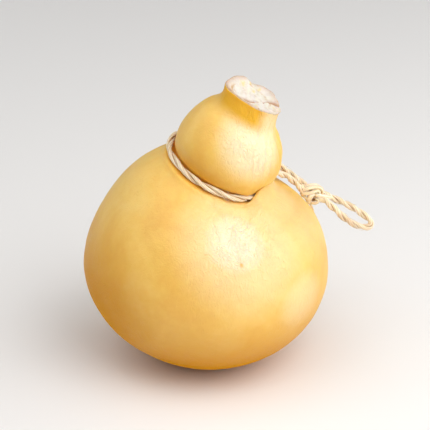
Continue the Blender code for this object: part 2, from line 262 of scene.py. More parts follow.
def smooth_points(route, spacing):
    """Points about a spacing apart on a smooth curve through a route's own points."""
    route = [Vector(point) for point in route]
    ends = [2.0 * route[0] - route[1]] + route + [2.0 * route[-1] - route[-2]]
    fine = []
    steps = 16
    for a, b, c, d in zip(ends, ends[1:], ends[2:], ends[3:]):
        for i in range(steps):
            t = i / steps
            fine.append(0.5 * (
                2.0 * b
                + (c - a) * t
                + (2.0 * a - 5.0 * b + 4.0 * c - d) * t * t
                + (3.0 * b - a - 3.0 * c + d) * t * t * t
            ))
    fine.append(route[-1])
    lengths = [0.0]
    for a, b in zip(fine, fine[1:]):
        lengths.append(lengths[-1] + (b - a).length)
    count = max(2, round(lengths[-1] / spacing))
    points = []
    j = 0
    for i in range(count + 1):
        at = lengths[-1] * i / count
        while j < len(fine) - 2 and lengths[j + 1] < at:
            j += 1
        part = (at - lengths[j]) / (lengths[j + 1] - lengths[j])
        points.append(fine[j].lerp(fine[j + 1], part))
    return points


def directions(points):
    """The way a line through points runs at each of them."""
    ahead = points[1:] + points[-1:]
    behind = points[:1] + points[:-1]
    return [(a - b).normalized() for a, b in zip(ahead, behind)]


def carried_normals(points):
    """A normal at each point, carried along the line without turning round it."""
    along = directions(points)
    normal = along[0].orthogonal().normalized()
    normals = [normal]
    for before, now in zip(along, along[1:]):
        normal = before.rotation_difference(now) @ normal
        normal = (normal - normal.dot(now) * now).normalized()
        normals.append(normal)
    return normals


def new_plies():
    """An empty mesh for plies, with the two layers that the raffia material reads."""
    bm = bmesh.new()
    bm.loops.layers.uv.new("strips")
    bm.verts.layers.float.new("inner_shade")
    return bm


def sweep_ply(bm, centres, outs, half_widths, half_depths, strips, drift, shade):
    """One bundle of leaf strips: a creased oval swept along centres, its flat side towards outs.

    drift is how many strips the creases move round in a centimetre, and shade picks the strips' tints.
    """
    uv_layer = bm.loops.layers.uv["strips"]
    inner_shade_layer = bm.verts.layers.float["inner_shade"]
    rings = []
    marks = []
    reach = 0.0
    for i, (centre, along) in enumerate(zip(centres, directions(centres))):
        reach += (centre - centres[i - 1]).length if i else 0.0
        out = (outs[i] - outs[i].dot(along) * along).normalized()
        side = along.cross(out)
        centimetres = reach / CM
        ring = []
        ring_marks = []
        for j in range(STRAND_SIDES + 1):
            turn = 2.0 * math.pi * j / STRAND_SIDES
            u = strips * j / STRAND_SIDES + drift * centimetres
            ring_marks.append((u + shade * strips, centimetres + 3.7 * shade))
            if j < STRAND_SIDES:
                from_crease = abs(u - round(u)) / LEAF_CREASE_SPREAD
                swell = 1.0 - LEAF_CREASE_DEPTH * math.exp(-from_crease * from_crease)
                offset = math.cos(turn) * half_widths[i] * side + math.sin(turn) * half_depths[i] * out
                vertex = bm.verts.new(centre + swell * offset)
                # Painted shade: the side that is turned in towards the other ply is darker.
                vertex[inner_shade_layer] = min(0.7, max(0.0, -0.3 - 1.1 * math.sin(turn)))
                ring.append(vertex)
        rings.append(ring)
        marks.append(ring_marks)
    for i in range(len(rings) - 1):
        for j in range(STRAND_SIDES):
            k = (j + 1) % STRAND_SIDES
            face = bm.faces.new((rings[i][j], rings[i + 1][j], rings[i + 1][k], rings[i][k]))
            corners = (marks[i][j], marks[i + 1][j], marks[i + 1][j + 1], marks[i][j + 1])
            for loop, corner in zip(face.loops, corners):
                loop[uv_layer].uv = corner
    for i, order in ((0, 1), (-1, -1)):
        middle = bm.verts.new(centres[i])
        for j in range(STRAND_SIDES):
            k = (j + 1) % STRAND_SIDES
            face = bm.faces.new((rings[i][j], rings[i][k], middle)[::order])
            for loop in face.loops:
                loop[uv_layer].uv = marks[i][j]


def twist_cord(bm, points, lays, phase, seed, size=1.0):
    """Two plies twisted right-handed round each other along points, as uneven as rolled by hand.

    lays is a table of (share of the cord's length, length in which a ply goes once round there).
    """
    normals = carried_normals(points)
    along = directions(points)
    for ply in range(2):
        turn = phase + math.pi * ply
        centres, outs, half_widths, half_depths = [], [], [], []
        for i, point in enumerate(points):
            at = i * RING_SPACING
            if i:
                lay = np.interp(i / len(points), *zip(*lays))
                uneven = 1.0 + LAY_UNEVEN[0] * noise.noise(Vector((seed, at / LAY_UNEVEN[1], 0.0)))
                turn += 2.0 * math.pi * (point - points[i - 1]).length / (lay * uneven)
            across = along[i].cross(normals[i])
            out = math.cos(turn) * normals[i] + math.sin(turn) * across
            wobble = noise.noise(Vector((seed + 5.0, at / PLY_WOBBLE[1], 7.0 * ply)))
            swell = noise.noise(Vector((seed + 9.0, at / PLY_SWELL[1], 7.0 * ply)))
            centres.append(point + out * (PLY_OFFSET + PLY_WOBBLE[0] * wobble) * size)
            outs.append(out)
            half_widths.append(PLY_HALF_WIDTH * (1.0 + PLY_SWELL[0] * swell) * size)
            half_depths.append(PLY_HALF_DEPTH * (1.0 - PLY_FLATTENING * swell) * size)
        sweep_ply(bm, centres, outs, half_widths, half_depths, PLY_STRIPS, STRIP_DRIFT, seed + ply)


def add_wisps(bm, points, count, seed):
    """Fine loose fibres that stand a little off the cord along part of a turn."""
    rng = random.Random(seed)
    normals = carried_normals(points)
    along = directions(points)
    for wisp_number in range(count):
        first = rng.randrange(WISP_CLEAR[0], len(points) - WISP_CLEAR[1])
        steps = rng.randrange(*WISP_RINGS)
        turn = rng.uniform(0.0, 2.0 * math.pi)
        rise = rng.uniform(*WISP_RISE)
        free_end = rng.random() < 0.5
        centres, outs = [], []
        for k in range(steps + 1):
            i = first + k
            part = k / steps
            turn += 2.0 * math.pi * RING_SPACING / WISP_LAY
            out = math.cos(turn) * normals[i] + math.sin(turn) * along[i].cross(normals[i])
            lift = rise * (part if free_end else math.sin(math.pi * part))
            centres.append(points[i] + out * (0.47 * CORD_DIAMETER + lift))
            outs.append(out)
        half_widths = [rng.uniform(*WISP_HALF_WIDTH)] * (steps + 1)
        half_depths = [WISP_HALF_DEPTH] * (steps + 1)
        sweep_ply(bm, centres, outs, half_widths, half_depths, 1, 0.0, wisp_number)


def finish_cord(name, bm, material):
    """Turn plies into a smooth-shaded piece whose faces all point outwards."""
    bmesh.ops.recalc_face_normals(bm, faces=bm.faces)
    mesh = bpy.data.meshes.new(name)
    bm.to_mesh(mesh)
    bm.free()
    mesh.shade_smooth()
    mesh.materials.append(material)
    piece = bpy.data.objects.new(name, mesh)
    bpy.context.scene.collection.objects.link(piece)
    return piece


def knot_point(right_mm, up_mm, out_mm):
    """A point of the knot, in millimetres from its middle: right, up and out as one faces it."""
    return KNOT_MIDDLE + MM * (right_mm * view_right + up_mm * view_up + out_mm * view_out)


raffia = make_raffia()
collar_points = smooth_points(
    (knot_point(-1.5, 3.0, 0.0), *COLLAR_ROUTE, knot_point(-2.0, 1.0, 2.0)), RING_SPACING,
)
collar_mesh = new_plies()
twist_cord(collar_mesh, collar_points, COLLAR_LAYS, phase=0.4, seed=1.0, size=0.94)
add_wisps(collar_mesh, collar_points, count=16, seed=3)
neck_raffia = finish_cord("neck_raffia", collar_mesh, raffia)
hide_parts("neck_cord")
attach(neck_raffia, "root")

# ---------------------------------------------------------------- hanging loop
# Beyond the knot the doubled cord stands out as a long narrow loop, stiff enough to hold itself up.
# It is the same two-ply raffia, and goes over a nail or a pole when the cheese hangs.

LOOP_LAYS = ((0.0, 20.0 * MM), (1.0, 20.0 * MM))
# From the knot along the upper leg, round the bight and back along the lower leg
LOOP_ROUTE = (
    (0.0738, 0.0402, 0.0894),
    (0.0790, 0.0400, 0.0870),
    (0.0843, 0.0395, 0.0847),
    (0.0894, 0.0390, 0.0821),
    (0.0945, 0.0388, 0.0790),
    (0.0993, 0.0390, 0.0754),
    (0.1030, 0.0392, 0.0720),
    (0.1043, 0.0389, 0.0692),
    (0.1024, 0.0380, 0.0674),
    (0.0978, 0.0370, 0.0682),
    (0.0923, 0.0360, 0.0708),
    (0.0872, 0.0353, 0.0749),
    (0.0827, 0.0348, 0.0796),
    (0.0782, 0.0345, 0.0842),
    (0.0742, 0.0344, 0.0878),
)

loop_points = smooth_points(
    (knot_point(2.0, 1.4, -1.5), *LOOP_ROUTE, knot_point(2.4, -1.8, 0.6)), RING_SPACING,
)
loop_mesh = new_plies()
twist_cord(loop_mesh, loop_points, LOOP_LAYS, phase=2.0, seed=21.0)
add_wisps(loop_mesh, loop_points, count=7, seed=8)
loop_raffia = finish_cord("loop_raffia", loop_mesh, raffia)
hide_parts("hanging_loop")
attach(loop_raffia, "root")

# ---------------------------------------------------------------- knot
# The doubled cord is tied in an overhand knot, pulled down hard on the cheese's shoulder. Its plies
# spread into flat bands. Two wraps go over the front, a strap and a fan come down on the left, a lobe
# folds up below them, and the rest run to the leads, over the back and into the loop's two legs.

# One ply each. Name: (half width, half depth, points from the knot's middle), in millimetres.
KNOT_BANDS = {
    "upper_wrap": (1.80, 1.10, (
        (-7.4, 1.9, 2.4), (-5.4, 3.1, 4.0), (-1.9, 4.3, 4.6), (1.4, 4.8, 4.4), (4.2, 4.6, 3.8),
        (5.8, 3.3, 3.0), (6.1, 1.5, 1.8), (4.8, 0.2, 0.2), (2.4, -0.4, -1.6),
    )),
    "lower_wrap": (1.35, 1.00, (
        (-7.6, 0.8, 2.2), (-5.8, 0.7, 3.8), (-3.2, 0.8, 5.0), (-0.8, 1.4, 5.6), (1.4, 2.2, 5.4),
        (3.2, 2.6, 4.8), (4.3, 1.8, 3.6), (3.6, 0.7, 2.0), (1.8, 0.2, 0.6),
    )),
    "front_strap": (1.70, 1.00, (
        (1.0, 1.4, 3.6), (-0.2, 0.2, 4.8), (-1.4, -1.3, 4.9), (-2.2, -3.0, 4.0),
        (-2.4, -4.6, 2.4), (-1.9, -5.5, 0.6),
    )),
    "left_fan": (1.15, 0.85, (
        (-7.0, -0.2, 1.4), (-5.4, -0.8, 3.0), (-4.2, -1.9, 3.4), (-3.4, -3.2, 3.0), (-2.8, -4.6, 1.6),
    )),
    "lower_lobe": (1.25, 0.95, (
        (-2.2, -4.9, 1.4), (-0.4, -5.0, 2.4), (1.4, -5.2, 2.6), (2.9, -4.8, 2.2), (3.4, -3.6, 1.9),
        (2.5, -2.4, 2.0), (1.0, -1.2, 1.6),
    )),
    "upper_lead": (1.70, 1.30, (
        (-8.6, 7.6, 0.6), (-6.0, 5.8, 0.8), (-3.0, 3.6, 1.4), (0.0, 1.6, 1.6), (2.6, 0.0, 1.0),
    )),
    "back_lead": (1.60, 1.30, (
        (-7.2, 5.6, -1.2), (-4.0, 3.4, -2.4), (0.0, 1.4, -2.6), (3.4, 1.0, -3.2), (7.0, 0.8, -3.7),
    )),
    "top_wrap": (1.30, 1.00, (
        (-6.2, 3.4, 1.4), (-4.0, 5.2, 2.4), (-1.4, 6.2, 2.4), (1.6, 6.3, 1.6), (4.0, 5.4, 0.4),
        (5.0, 3.6, -1.4), (3.8, 1.4, -3.2), (0.6, -0.6, -4.2), (-3.0, -0.8, -3.2),
    )),
    "back_wrap": (1.40, 1.00, (
        (6.0, 1.6, 0.6), (5.0, -0.6, -1.8), (2.6, -2.4, -2.6), (-0.2, -3.6, -2.2), (-2.2, -4.6, -0.6),
    )),
    "leg_root": (1.60, 1.05, (
        (1.0, 0.6, 2.6), (2.6, 0.0, 3.7), (4.6, -0.4, 3.2), (6.8, -0.8, 1.4), (9.4, -1.2, -1.2),
        (12.0, -1.8, -3.0),
    )),
    "lower_leg_root": (1.45, 1.05, (
        (0.6, -0.6, 1.8), (2.6, -1.7, 1.8), (5.0, -2.5, 1.6), (7.6, -3.6, 1.2), (10.0, -5.2, 0.6),
    )),
}
KNOT_RING_SPACING = 0.4 * MM
KNOT_STRIPS = 2
KNOT_DRIFT = 0.1
KNOT_SHADE = 40                   # the first band's shade


def bulge_out(points):
    """The way out of the knot at each point, so that a band lies flat on it."""
    return [(point - KNOT_MIDDLE).normalized() for point in points]


def taper(count, size):
    """A half size along a band, drawn in over its last rings at both ends."""
    sizes = []
    for i in range(count):
        from_end = min(i, count - 1 - i) / 4.0
        sizes.append(size * (0.55 + 0.45 * min(1.0, from_end)))
    return sizes


knot_mesh = new_plies()
for number, (half_width, half_depth, route) in enumerate(KNOT_BANDS.values()):
    band = smooth_points([knot_point(*point) for point in route], KNOT_RING_SPACING)
    sweep_ply(
        knot_mesh, band, bulge_out(band), taper(len(band), half_width * MM),
        taper(len(band), half_depth * MM), KNOT_STRIPS, KNOT_DRIFT, KNOT_SHADE + number,
    )
knot_raffia = finish_cord("knot_raffia", knot_mesh, raffia)
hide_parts("cord_knot")
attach(knot_raffia, "root")

# ---------------------------------------------------------------- tail
# One cut end of leaf sticks out below the knot and hangs along the body: a flat brown strip with
# a thinner one split from it.

# (half width, half depth, points from the knot's middle), in millimetres
TAIL_ROUTES = (
    (0.62, 0.30, (
        (-1.9, -5.0, 1.4), (-1.2, -6.6, 1.6), (-0.3, -8.6, 1.4), (0.6, -10.8, 1.0),
        (1.7, -13.2, 0.6), (2.5, -15.4, 0.4),
    )),
    (0.34, 0.20, (
        (-1.2, -5.4, 1.8), (-0.2, -7.2, 2.0), (0.6, -9.4, 1.8), (1.0, -11.4, 1.4),
    )),
)
TAIL_STRIPS = 2
TAIL_DRIFT = 0.3
TAIL_SHADE = 60

tail_mesh = new_plies()
for number, (half_width, half_depth, route) in enumerate(TAIL_ROUTES):
    strip = smooth_points([knot_point(*point) for point in route], KNOT_RING_SPACING)
    sweep_ply(
        tail_mesh, strip, [view_out] * len(strip), taper(len(strip), half_width * MM),
        taper(len(strip), half_depth * MM), TAIL_STRIPS, TAIL_DRIFT, TAIL_SHADE + number,
    )
tail_raffia = finish_cord("tail_raffia", tail_mesh, raffia)
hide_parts("cord_tail")
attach(tail_raffia, "root")

# ---------------------------------------------------------------- cheese
# Stretched curd, shaped by hand while hot: a round body, and a head whose skin was drawn together
# and torn off at the stump. The rind is thin, waxy and faintly wrinkled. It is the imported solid's own
# mesh, merged and subdivided, with the skin's folds, dents and torn curd moved into it.

HEAD_MIDDLE = Vector((0.0138, -0.0032, 0.1375))
HEAD_LEAN = (25.0, 6.0)           # degrees to the right and to the front
STUMP_MIDDLE = Vector((0.0287, -0.0076, 0.1765))
STUMP_LEAN = (31.0, 6.0)
CREASE_MIDDLE = Vector((0.0088, -0.0020, 0.1267))

# The cheese's other sizes are in millimetres, and its turns in degrees. A pair of values is where
# something begins, and where it is full. Four are where it begins, is full, fades and ends.

# Marks of the hands and the brine: (height, size, octaves, seed)
HAND_MARKS = ((0.45, 34.0, 2, 4.0), (0.12, 11.0, 2, 9.0))

# (turn round the head at its top and at its foot, half width, depth, height of its foot and its top)
HEAD_FOLDS = (
    (-46.0, -84.0, 2.0, 0.22, 16.0, 35.0),
    (-36.0, -57.0, 1.3, 0.62, 2.0, 38.0),
    (-31.0, -43.0, 1.2, 0.54, -2.0, 38.0),
    (-28.0, -33.0, 1.0, 0.28, 12.0, 37.0),
    (-24.0, -19.0, 1.4, 0.54, -8.0, 38.0),
    (-12.0, -5.0, 1.8, 0.40, 4.0, 36.0),
    (8.0, 10.0, 1.5, 0.46, -6.0, 35.0),
    (22.0, 26.0, 1.8, 0.28, 0.0, 34.0),
    (41.0, 38.0, 1.4, 0.34, 2.0, 32.0),
    (66.0, 68.0, 1.4, 0.40, -4.0, 33.0),
    (92.0, 96.0, 1.3, 0.34, 0.0, 33.0),
    (118.0, 124.0, 1.4, 0.36, 4.0, 32.0),
    (150.0, 158.0, 1.4, 0.30, 8.0, 32.0),
)
FOLD_RIDGE = 0.4                  # height of the ridges beside a fold, as a share of its depth
FOLD_RIDGE_AT = 1.9               # half widths from the fold's middle

# Torn curd. Facing up is 1 where the skin looks straight up along the stump.
CURD_HEIGHT = (-3.0, -1.8)        # where the skin ends
CURD_FACES_UP = (0.26, 0.46)
INNER_RADIUS = (12.0, 13.5)       # inside it all is torn, however deep it lies
INNER_FACES_UP = (0.4, 0.6)
CURD_FLOOR = (-7.0, -5.0)
CURD_REACH = (22.0, 24.0)
# The valley behind the stump's front roll: (to the right, to the back) of the stump's middle
ROLL_VALLEY = ((-13.0, -7.0), (-6.0, -4.8), (0.0, -4.6), (6.0, -1.5), (11.0, 2.5), (16.0, 2.5))
VALLEY_DEPTH = 1.1
VALLEY_WIDTH = 1.1
ROLL_BACK = (-2.2, -0.6)          # where the roll ends, from the valley
ROLL_FACES_UP = (0.35, 0.70)
ROLL_HEIGHT = -0.1                # at its outer radius, on the right
ROLL_RADIUS = 17.0
ROLL_SLOPE = 0.03
ROLL_FALL = 2.3                   # how much lower the roll is on the left
ROLL_RISES = (-5.0, 6.0)          # from the left, where it comes up
# (to the right, to the back, spread, height)
STUMP_SWELLINGS = ((-2.5, 5.0, 6.0, 1.3), (-3.0, 12.5, 3.5, 1.8))
# (size, octaves, seed)
RAGGED_CURD = (2.2, 3, 2.0)
CRUMBS = (1.3, 3, 14.0)
LUMPS = (5.2, 2, 21.0)

CREASE_RADIUS = 29.0
CREASE_GAP = 0.35                 # stays between the rind and the cord
CREASE_NEAR = (8.0, 12.0)         # the rind swells to the cord within this distance of the crease
SWELL_REACH = 4.0
PACKED_LIFT = 5.3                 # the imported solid's right shoulder stands up by this
PACKED_PINCH = (-62.0, -34.0, -18.0, 10.0)
SOFT_PINCH = (-62.0, -34.0, -18.0, 42.0)
SHOULDER_EDGE = 36.0              # radius from which the shoulder falls away
SHOULDER_RUN = 27.0
SOFT_RUN = 0.62                   # the softer swelling's run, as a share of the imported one's
LIP_RADIUS = 33.6
LIP_HEIGHT = 4.2
LIP_SPREADS = (6.5, 3.6, 4.5)     # outwards, inwards and up
LIP_TURNS = (-62.0, -34.0, -14.0, 26.0)
LIP_UP = 2.9
LIP_INWARDS = 3.8
SAG_TURNS = (-72.0, -50.0, -30.0, -8.0)
SAG_HEIGHTS = (0.5, 4.0, 6.0, 15.0)
SAG = 1.5

SECTOR = 10.0
DRY_RIM = (0.70, 0.98)            # share of the way out to the torn curd's outline
EDGE_RIM = (0.90, 1.0)
GOLD_HEIGHTS = (-15.5, -7.5)
GOLD_REACH = (20.0, 26.0)
GOLD_MIDDLE = -128.0              # turn round the stump
GOLD_FADES = (52.0, 92.0)         # turned away from its middle
CREASE_SHADE_WIDTH = 5.2
CREASE_SHADE_FADES = (-20.0, 5.0)       # from the left
SHADE_SIDE = Vector((-0.85, -0.33, -0.41))
SHADE_HEIGHTS = (4.0, 74.0)
SHADE_CHIN = Vector((-0.26, -0.54, -0.80)).normalized()
HEAD_BEGINS = (1.0, 6.0)          # height over the crease
# Painted highlights: (direction, how close to it the paleness begins, and is full, its weight)
BODY_PAINTED_HIGHLIGHTS = (
    ((0.34, -0.76, 0.56), 0.76, 1.00, 0.36),
    ((0.26, -0.77, 0.58), 0.93, 1.00, 0.78),
    ((0.78, -0.62, -0.02), 0.95, 1.00, 0.30),
    ((0.74, -0.24, 0.62), 0.84, 1.00, 0.22),
)
HEAD_PAINTED_HIGHLIGHT = ((0.20, -0.68, 0.70), 0.66, 1.00, 0.68)
# A small spot of painted crease shade stands for a pit in this direction from the body's middle.
PIT_SIDE = Vector((0.30, -0.861, 0.411)).normalized()
PIT_CLOSE = 0.99985
SKIN_MASKS = ("torn", "dry_rim_and_shade", "edge", "gold_and_lip_shade", "crease_shade", "painted_flank_shade", "painted_highlight")


def lean_axes(right_degrees, front_degrees):
    """The axes of a leaning piece: to the right, to the back, and up along it."""
    lean_right, lean_front = math.radians(right_degrees), math.radians(front_degrees)
    up = Vector((math.sin(lean_right), -math.sin(lean_front), math.cos(lean_right))).normalized()
    right = (Vector((1.0, 0.0, 0.0)) - up * up.x).normalized()
    return right, up.cross(right), up


def in_axes(places, middle, axes):
    """Places, an array of rows, measured in millimetres from a middle along three axes."""
    return (places - np.array(middle)) @ np.array([list(axis) for axis in axes]).T / MM


def as_directions(rows):
    """Rows of three numbers, each scaled to a length of 1."""
    return rows / np.maximum(np.linalg.norm(rows, axis=1), 1e-6)[:, None]


def ease(values, start, end):
    """0 before start and 1 after end, with a soft way between."""
    part = np.clip((values - start) / (end - start), 0.0, 1.0)
    return part * part * (3.0 - 2.0 * part)


def between(values, start, full, fading, end):
    """0 before start, 1 from full to fading, and 0 after end, with soft ways between."""
    return ease(values, start, full) * (1.0 - ease(values, fading, end))


def turned_from(turns, turn):
    """Degrees from one turn to others, from -180 to 180."""
    return (turns - turn + 180.0) % 360.0 - 180.0


def noise_at(places, size, octaves, seed):
    """Fractal noise from about -1 to 1 at each place, with features of about a size."""
    shift = Vector((seed, seed * 1.7, seed * 0.3))
    return np.array([
        noise.fractal(Vector(place) / (size * MM) + shift, 1.0, 2.0, octaves) for place in places
    ])


def painted_highlight_towards(ways, direction, start, end, weight):
    """How pale a painted highlight makes the rind round its direction, given the way to each place."""
    return weight * ease(ways @ np.array(Vector(direction).normalized()), start, end)


bpy.ops.object.select_all(action="DESELECT")
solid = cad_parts["cheese"]
solid.select_set(True)
bpy.context.view_layer.objects.active = solid
bpy.ops.object.duplicate(linked=False)
cheese = bpy.context.object
cheese.name = "waxy_cheese"
cheese.parent = None
bpy.ops.object.mode_set(mode="EDIT")
bpy.ops.mesh.select_all(action="SELECT")
bpy.ops.mesh.remove_doubles(threshold=0.01 * MM)
bpy.ops.mesh.tris_convert_to_quads(face_threshold=math.radians(60), shape_threshold=math.radians(60))
bpy.ops.object.mode_set(mode="OBJECT")
smoother = cheese.modifiers.new("smoother", "SUBSURF")
smoother.levels = 2
smoother.render_levels = 2
bpy.ops.object.modifier_apply(modifier=smoother.name)

mesh = cheese.data
vertex_count = len(mesh.vertices)
places = np.empty(vertex_count * 3)
mesh.vertices.foreach_get("co", places)
places = places.reshape(-1, 3)
normals = np.empty(vertex_count * 3, dtype=np.float32)
mesh.vertex_normals.foreach_get("vector", normals)
normals = normals.reshape(-1, 3).astype(float)

# Push is how far each place moves outwards. First come soft hollows and swellings.
push = sum(
    height * noise_at(places, size, octaves, seed) for height, size, octaves, seed in HAND_MARKS
)

# Folds run down the head from the stump, like those of a bag that is drawn together.
head_axes = lean_axes(*HEAD_LEAN)
head = in_axes(places, HEAD_MIDDLE, head_axes)
head_turn = np.degrees(np.arctan2(head[:, 1], head[:, 0]))
head_radius = np.hypot(head[:, 0], head[:, 1])
for top, foot, half_width, depth, low, high in HEAD_FOLDS:
    part = np.clip((head[:, 2] - low) / (high - low), 0.0, 1.0)
    middle = foot + (top - foot) * part * part
    across = np.radians(turned_from(head_turn, middle)) * head_radius / half_width
    within = between(head[:, 2], low, low + 14.0, high - 3.0, high + 4.0)
    push -= depth * within * np.exp(-across * across)
    push += FOLD_RIDGE * depth * within * np.exp(-(np.abs(across) - FOLD_RIDGE_AT) ** 2)

# Torn curd: the stump's top is ragged. In front it curls over in a broad roll, with a valley behind
# the roll and a shallow hollow with swellings beyond it.
stump_axes = lean_axes(*STUMP_LEAN)
stump_right, stump_back, stump_up = in_axes(places, STUMP_MIDDLE, stump_axes).T
rim = np.hypot(stump_right, stump_back)
facing = normals @ np.array(stump_axes[2])
ragged = noise_at(places, *RAGGED_CURD)
crumbs = noise_at(places, *CRUMBS)
lumps = noise_at(places, *LUMPS)
inner_curd = (1.0 - ease(rim, *INNER_RADIUS)) * ease(facing, *INNER_FACES_UP)
on_top = np.maximum(ease(stump_up + 0.15 * ragged, *CURD_HEIGHT), inner_curd)
on_top = on_top * ease(stump_up, *CURD_FLOOR) * (1.0 - ease(rim, *CURD_REACH))
torn = on_top * ease(facing + 0.10 * ragged, *CURD_FACES_UP)
behind_valley = stump_back - np.interp(stump_right, *zip(*ROLL_VALLEY))
roll = torn * (1.0 - ease(behind_valley, *ROLL_BACK))
roll_top = ROLL_HEIGHT - ROLL_SLOPE * (ROLL_RADIUS - rim)
roll_top = roll_top - ROLL_FALL * (1.0 - ease(stump_right, *ROLL_RISES))
push += roll * ease(facing, *ROLL_FACES_UP) * np.clip(roll_top - stump_up, 0.0, 4.0)
push -= torn * VALLEY_DEPTH * np.exp(-(behind_valley / VALLEY_WIDTH) ** 2)
for right, back, spread, height in STUMP_SWELLINGS:
    away = np.hypot(stump_right - right, stump_back - back)
    push += torn * (1.0 - roll) * height * np.exp(-(away / spread) ** 2)
push += torn * (0.30 * lumps + (0.18 + 0.14 * roll) * (ragged + 0.5 * crumbs))

# Round the crease the rind swells up to the cord that lies in it.
cord_line = kdtree.KDTree(len(collar_points))
for i, point in enumerate(collar_points):
    cord_line.insert(point, i)
cord_line.balance()
crease = in_axes(places, CREASE_MIDDLE, head_axes)
crease_turn = np.degrees(np.arctan2(crease[:, 1], crease[:, 0]))
crease_radius = np.hypot(crease[:, 0], crease[:, 1])
from_crease = np.hypot(crease_radius - CREASE_RADIUS, crease[:, 2])
for i in np.flatnonzero(from_crease < CREASE_NEAR[1]):
    nearest, _, distance = cord_line.find(places[i])
    gap = distance / MM - 0.5 * CORD_DIAMETER / MM
    towards = max(0.0, (nearest - Vector(places[i])).normalized().dot(Vector(normals[i])))
    towards *= 1.0 - ease(from_crease[i], *CREASE_NEAR)
    push[i] += towards * max(0.0, gap - CREASE_GAP) * math.exp(-((gap / SWELL_REACH) ** 2))

places = places + normals * (push * MM)[:, None]

# On the right the shoulder's lip closes over the cord. The swelling behind the lip runs out softly,
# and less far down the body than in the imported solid.
down_shoulder = np.clip((crease_radius - SHOULDER_EDGE) / SHOULDER_RUN, 0.0, 2.0) ** 1.15
packed_rise = between(crease_turn, *PACKED_PINCH) * (1.0 - ease(down_shoulder, 0.0, 1.0))
soft_rise = between(crease_turn, *SOFT_PINCH) * (1.0 - ease(down_shoulder, 0.0, SOFT_RUN))
on_shoulder = ease(crease_radius, 31.0, 34.0) * (crease[:, 2] < 8.0)
near_edge = 1.0 + 0.7 * (1.0 - ease(crease_radius, 34.5, 39.0))
rise = PACKED_LIFT * near_edge * on_shoulder * (soft_rise - packed_rise)
outwards, inside, upwards = LIP_SPREADS
lip_spread = np.where(crease_radius > LIP_RADIUS, outwards, inside)
lip = np.hypot((crease_radius - LIP_RADIUS) / lip_spread, (crease[:, 2] + rise - LIP_HEIGHT) / upwards)
over_cord = between(crease_turn, *LIP_TURNS)
lip_push = np.exp(-lip * lip) * over_cord
up_axis = np.array(head_axes[2])
inwards = -(places - np.array(CREASE_MIDDLE))
inwards = as_directions(inwards - (inwards @ up_axis)[:, None] * up_axis)
# The head sags down to the cord just before the lip covers it.
sag = between(crease[:, 2], *SAG_HEIGHTS) * between(crease_turn, *SAG_TURNS)
places = places + up_axis * ((rise + LIP_UP * lip_push - SAG * sag) * MM)[:, None]
places = places + inwards * (LIP_INWARDS * lip_push * MM)[:, None]
# Underneath it is pressed flat by its own weight.
places[:, 2] = np.maximum(places[:, 2], 0.0)
mesh.vertices.foreach_set("co", places.ravel())

# Masks for the rind's colour. Torn curd is dry towards its outline, and has a thin line along its
# edge. In the valley behind the roll and on the roll's left part it is darkened by painted shade.
# The outline is read as the reach of the torn curd in each sector.
stump_turn = np.degrees(np.arctan2(stump_back, stump_right))
sector_count = round(360.0 / SECTOR)
sectors = ((stump_turn + 180.0) // SECTOR).astype(int) % sector_count
reaches = [rim[(sectors == sector) & (torn > 0.5)].max() for sector in range(sector_count)]
sector_turns = np.arange(-180.0 + 0.5 * SECTOR, 180.0, SECTOR)
outline = np.interp(stump_turn, sector_turns, reaches, period=360.0)
dry_rim_and_shade = 0.75 * ease(rim / outline, *DRY_RIM) * (1.0 - 0.75 * roll * ease(stump_right, -8.0, 2.0))
dry_rim_and_shade = torn * np.maximum(dry_rim_and_shade, np.exp(-((behind_valley - 1.2) / 1.6) ** 2))
edge = np.maximum(4.0 * torn * (1.0 - torn), 0.5 * torn * ease(rim / outline, *EDGE_RIM))
# Painted shade: a thin darker line along the valley behind the roll.
edge = np.maximum(edge, 0.9 * torn * np.exp(-((behind_valley - 0.6) / 0.8) ** 2))
# Golden skin under the torn edge, in front and on the left, deepened by painted shade of the lip.
gold_and_lip_shade = ease(stump_up, *GOLD_HEIGHTS) * (1.0 - ease(rim, *GOLD_REACH)) * (1.0 - torn)
gold_and_lip_shade = gold_and_lip_shade * (1.0 - 0.85 * ease(np.abs(turned_from(stump_turn, GOLD_MIDDLE)), *GOLD_FADES))
# Painted shade: a deep orange in the crease, and a small spot of it that stands for a pit in front.
body_ways = as_directions(places - np.array(BODY_MIDDLE))
crease_shade = np.exp(-(from_crease / CREASE_SHADE_WIDTH) ** 2)
crease_shade = crease_shade * (1.0 - 0.45 * ease(crease[:, 0], *CREASE_SHADE_FADES))
crease_shade = crease_shade * (1.0 - over_cord * ease(crease_radius, 29.5, 32.5))
crease_shade = np.maximum(crease_shade, ease(body_ways @ np.array(PIT_SIDE), PIT_CLOSE, 1.0))
# Painted shade: the left flank, the underside and the head's chin are a deeper amber.
on_head = ease(crease[:, 2], *HEAD_BEGINS)
head_ways = as_directions(head)
flank = ease(body_ways @ np.array(SHADE_SIDE), 0.45, 1.0)
underside = 1.0 - ease(places[:, 2] / MM, *SHADE_HEIGHTS)
chin = ease(head_ways @ np.array(SHADE_CHIN), 0.30, 0.95) * on_head
painted_flank_shade = np.maximum(np.maximum(0.9 * flank, underside), 0.9 * chin)
# Painted highlights: the rind is paler where the lights and the floor shine back from it.
painted_highlight = on_head * painted_highlight_towards(head_ways, *HEAD_PAINTED_HIGHLIGHT)
for body_painted_highlight in BODY_PAINTED_HIGHLIGHTS:
    painted_highlight = np.maximum(painted_highlight, (1.0 - on_head) * painted_highlight_towards(body_ways, *body_painted_highlight))
for name, values in zip(SKIN_MASKS, (torn, dry_rim_and_shade, edge, gold_and_lip_shade, crease_shade, painted_flank_shade, painted_highlight)):
    layer = mesh.attributes.new(name, "FLOAT", "POINT")
    layer.data.foreach_set("value", values.astype(np.float32))
mesh.shade_smooth()


